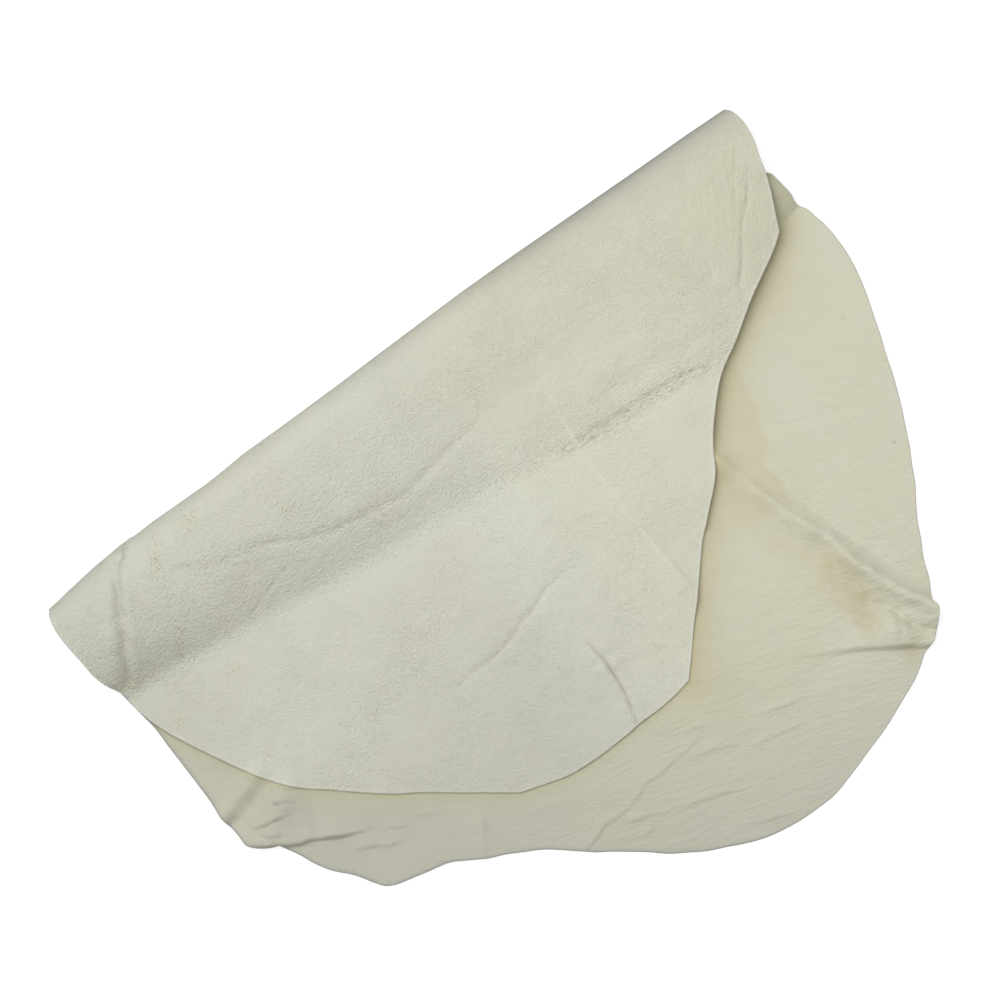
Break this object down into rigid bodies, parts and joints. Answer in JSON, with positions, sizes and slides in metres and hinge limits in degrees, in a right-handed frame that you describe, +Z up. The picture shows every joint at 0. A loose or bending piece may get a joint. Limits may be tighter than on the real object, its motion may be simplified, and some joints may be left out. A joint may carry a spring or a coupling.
{
  "type": "chamois drying leather",
  "caption": "Natural chamois leather with an irregular cut edge, folded over in a soft roll, for drying washed cars; it opens out at its creases.",
  "frame": {"origin": "on the table, under the middle of the folded leather's box", "axes": "+X along the fold, -Y from the fold towards the free edges, +Z up"},
  "size_m": [0.5096, 0.3708, 0.026],
  "materials": {
    "grain_side": "smooth pale cream grain with fine pebbles, soft and matt",
    "flesh_side": "napped cream flesh side, slightly yellow, streaked and stained"
  },
  "bodies": {
    "lower_leaf": {"lower_leaf": "flesh_side"},
    "lower_margin": {"lower_margin": "flesh_side"},
    "fold_lower_strip": {"fold_lower_strip": "grain_side"},
    "fold_middle_strip": {"fold_middle_strip": "grain_side"},
    "fold_upper_strip": {"fold_upper_strip": "grain_side"},
    "flap_inner_panel": {"flap_inner_panel": "grain_side"},
    "flap_outer_panel": {"flap_outer_panel": "grain_side"}
  },
  "joints": [
    {"name": "fold_open", "type": "hinge", "parent": "lower_leaf", "child": "fold_lower_strip", "pos_m": [0, 0.16704, 0], "axis": [1, 0, 0], "range_deg": [-30, 0]},
    {"name": "fold_lower_bend", "type": "hinge", "parent": "fold_lower_strip", "child": "fold_middle_strip", "pos_m": [0, 0.1783, 0.0065], "axis": [1, 0, 0], "range_deg": [-60, 0]},
    {"name": "fold_upper_bend", "type": "hinge", "parent": "fold_middle_strip", "child": "fold_upper_strip", "pos_m": [0, 0.1783, 0.0195], "axis": [1, 0, 0], "range_deg": [-60, 0]},
    {"name": "fold_flap_bend", "type": "hinge", "parent": "fold_upper_strip", "child": "flap_inner_panel", "pos_m": [0, 0.16704, 0.026], "axis": [1, 0, 0], "range_deg": [-30, 0]},
    {"name": "flap_crease", "type": "hinge", "parent": "flap_inner_panel", "child": "flap_outer_panel", "pos_m": [-0.0017, 0.08254, 0.0094], "axis": [-0.9926, 0.1197, -0.0196], "range_deg": [0, 120]},
    {"name": "margin_crease", "type": "hinge", "parent": "lower_leaf", "child": "lower_margin", "pos_m": [-0.0017, -0.11646, 0.001], "axis": [-0.9886, -0.1504, 0], "range_deg": [0, 120]}
  ],
  "couplings": [
    {"joint": "fold_lower_bend", "follows": "fold_open", "ratio": 2},
    {"joint": "fold_upper_bend", "follows": "fold_open", "ratio": 2},
    {"joint": "fold_flap_bend", "follows": "fold_open", "ratio": 1}
  ]
}
